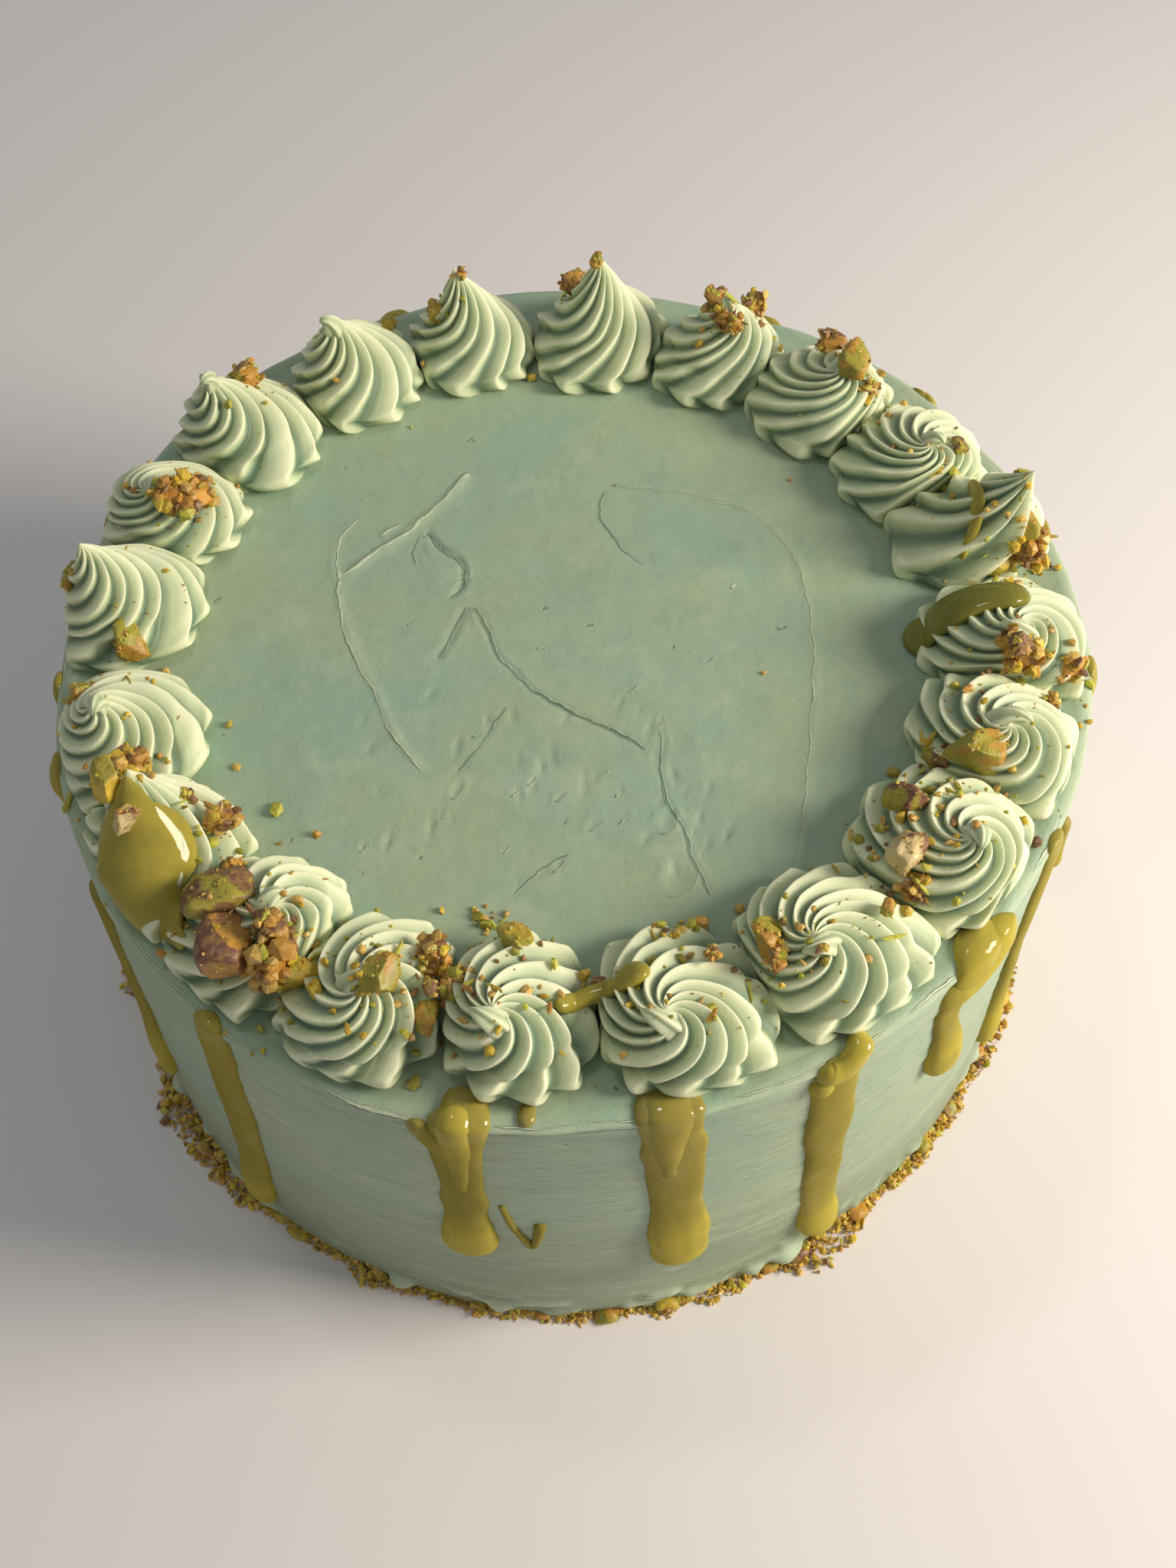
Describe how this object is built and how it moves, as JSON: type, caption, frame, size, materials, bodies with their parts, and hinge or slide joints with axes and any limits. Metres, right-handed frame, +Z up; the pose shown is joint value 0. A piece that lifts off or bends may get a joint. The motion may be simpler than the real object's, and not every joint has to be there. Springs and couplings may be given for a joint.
{
  "type": "drip cake",
  "caption": "Tall round drip cake in sage green buttercream, ringed with piped rosettes, with pistachio cream running down its side and chopped nuts on top",
  "frame": {"origin": "middle of the flat underside, which rests on a board or plate", "axes": "+Z up through the middle of the cake; -Y faces the viewer of the picture; +X to the viewer's right"},
  "size_m": [0.2209, 0.2215, 0.1288],
  "materials": {
    "buttercream": "satin",
    "piped_buttercream": "satin",
    "pistachio_cream": "glossy",
    "chopped_nut": "rough"
  },
  "bodies": {
    "root": {"cake_body": "buttercream", "rosette_01": "piped_buttercream", "rosette_02": "piped_buttercream", "rosette_03": "piped_buttercream", "rosette_04": "piped_buttercream", "rosette_05": "piped_buttercream", "rosette_06": "piped_buttercream", "rosette_07": "piped_buttercream", "rosette_08": "piped_buttercream", "rosette_09": "piped_buttercream", "rosette_10": "piped_buttercream", "rosette_11": "piped_buttercream", "rosette_12": "piped_buttercream", "rosette_13": "piped_buttercream", "rosette_14": "piped_buttercream", "rosette_15": "piped_buttercream", "rosette_16": "piped_buttercream", "rosette_17": "piped_buttercream", "rosette_18": "piped_buttercream", "rosette_19": "piped_buttercream", "rosette_20": "piped_buttercream"}
  },
  "joints": []
}
